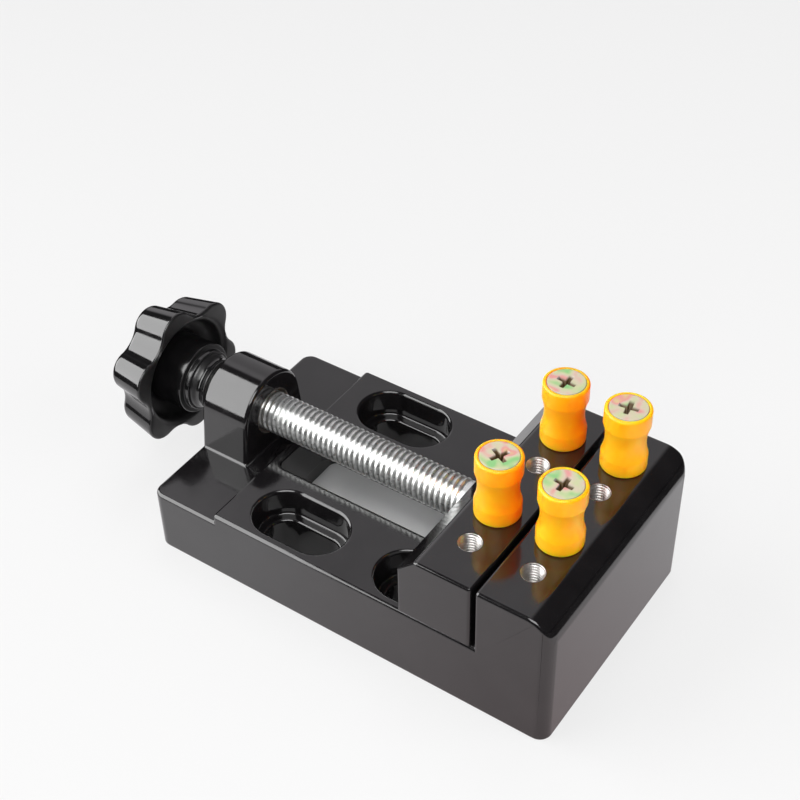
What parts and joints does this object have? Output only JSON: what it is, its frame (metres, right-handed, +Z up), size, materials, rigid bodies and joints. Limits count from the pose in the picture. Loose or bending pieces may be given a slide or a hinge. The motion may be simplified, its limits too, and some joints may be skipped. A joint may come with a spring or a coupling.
{
  "type": "circuit board vise",
  "caption": "Small cast bench vise for circuit boards: waisted pegs on a fixed and a sliding jaw, driven by a lead screw with a star knob.",
  "frame": {"origin": "on the table under the middle of the whole vise as stored, knob included", "axes": "+X along the lead screw from the knob to the fixed jaw, +Z up"},
  "size_m": [0.1334, 0.062, 0.0542],
  "materials": {
    "cast_paint": "glossy black paint",
    "knob_black": "glossy black",
    "sleeve_amber": "satin amber",
    "zinc": "bright zinc plate",
    "chromate": "iridescent yellow chromate",
    "brass": "turned",
    "steel": "plain steel"
  },
  "bodies": {
    "bed": {"base": "cast_paint", "fixed_near_sleeve": "sleeve_amber", "fixed_far_sleeve": "sleeve_amber", "fixed_near_screw": "chromate", "fixed_far_screw": "chromate"},
    "carriage": {"moving_jaw": "cast_paint", "keeper_plate": "steel", "keeper_screws": "zinc", "lock_washers": "steel", "retaining_pins": "steel", "thrust_disc": "steel", "moving_near_sleeve": "sleeve_amber", "moving_far_sleeve": "sleeve_amber", "moving_near_screw": "chromate", "moving_far_screw": "chromate"},
    "drive": {"lead_screw": "zinc", "star_knob": "knob_black", "knob_insert": "brass", "grub_screw": "steel"}
  },
  "joints": [
    {"name": "jaw_slide", "type": "slide", "parent": "bed", "child": "carriage", "axis": [1, 0, 0], "range_m": [-0.05, 0.0009]},
    {"name": "screw_turn", "type": "hinge", "parent": "carriage", "child": "drive", "pos_m": [0, 0, 0.0264], "axis": [1, 0, 0], "range_deg": [-12001, 217]}
  ],
  "couplings": [
    {"joint": "screw_turn", "follows": "jaw_slide", "rad_per_m": 4188.8}
  ]
}
